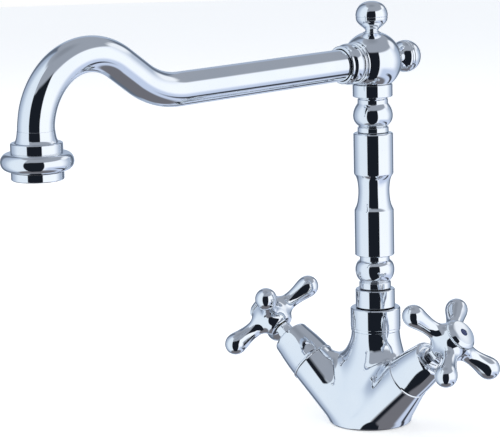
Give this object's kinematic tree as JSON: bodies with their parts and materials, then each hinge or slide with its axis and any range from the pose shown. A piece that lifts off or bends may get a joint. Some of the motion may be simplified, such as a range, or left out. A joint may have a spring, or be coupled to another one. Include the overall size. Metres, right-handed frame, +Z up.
{
  "type": "bathroom mixer faucet",
  "caption": "Single-hole traditional mixer faucet in polished chrome: V-shaped body, cross handles, turned column and a long swivelling gooseneck spout.",
  "frame": {"origin": "centre of the round foot on the deck surface", "axes": "+X towards the cold handle, -Y towards the user, +Z up"},
  "size_m": [0.1778, 0.2974, 0.2599],
  "materials": {
    "chrome": "bright polished chrome plate on brass",
    "brass": "machined",
    "steel": "stainless",
    "rubber": "matt EPDM",
    "ceramic": "lapped alumina ceramic",
    "plastic": "moulded acetal",
    "hot_enamel": "dark red enamel dot",
    "cold_enamel": "dark blue enamel dot"
  },
  "bodies": {
    "body": {"mixer_body": "chrome", "base_seal": "rubber", "swivel_nut": "chrome", "hot_bonnet": "chrome", "hot_cartridge_housing": "brass", "hot_cartridge_o_ring": "rubber", "hot_seat_washer": "rubber", "hot_fixed_disc": "ceramic", "hot_gland_nut": "chrome", "cold_bonnet": "chrome", "cold_cartridge_housing": "brass", "cold_cartridge_o_ring": "rubber", "cold_seat_washer": "rubber", "cold_fixed_disc": "ceramic", "cold_gland_nut": "chrome"},
    "spout_assembly": {"column_stem": "chrome", "swivel_split_ring": "plastic", "swivel_o_rings": "rubber", "column_lower_bead": "chrome", "column_middle": "chrome", "column_upper_bead": "chrome", "top_collar": "chrome", "ball_head": "chrome", "top_finial": "chrome", "side_finial": "chrome", "spout_nut": "chrome", "spout_seal": "rubber", "spout_tube": "chrome", "outlet_bell": "chrome", "aerator_washer": "rubber", "aerator_housing": "chrome", "aerator_core": "plastic"},
    "hot_control": {"hot_spindle": "brass", "hot_spindle_seal": "rubber", "hot_moving_disc": "ceramic", "hot_handle": "chrome", "hot_handle_screw": "steel", "hot_index_cap": "chrome", "hot_index_mark": "hot_enamel"},
    "cold_control": {"cold_spindle": "brass", "cold_spindle_seal": "rubber", "cold_moving_disc": "ceramic", "cold_handle": "chrome", "cold_handle_screw": "steel", "cold_index_cap": "chrome", "cold_index_mark": "cold_enamel"}
  },
  "joints": [
    {"name": "spout_swivel", "type": "hinge", "parent": "body", "child": "spout_assembly", "pos_m": [0, 0.00674, 0.066], "axis": [0, 0, 1], "continuous": true},
    {"name": "hot_valve", "type": "hinge", "parent": "body", "child": "hot_control", "pos_m": [-0.06819, -0.01067, 0.06075], "axis": [-0.7776, 0, 0.6288], "range_deg": [0, 90]},
    {"name": "cold_valve", "type": "hinge", "parent": "body", "child": "cold_control", "pos_m": [0.06819, -0.01067, 0.06075], "axis": [0.7776, 0, 0.6288], "range_deg": [-90, 0]}
  ]
}
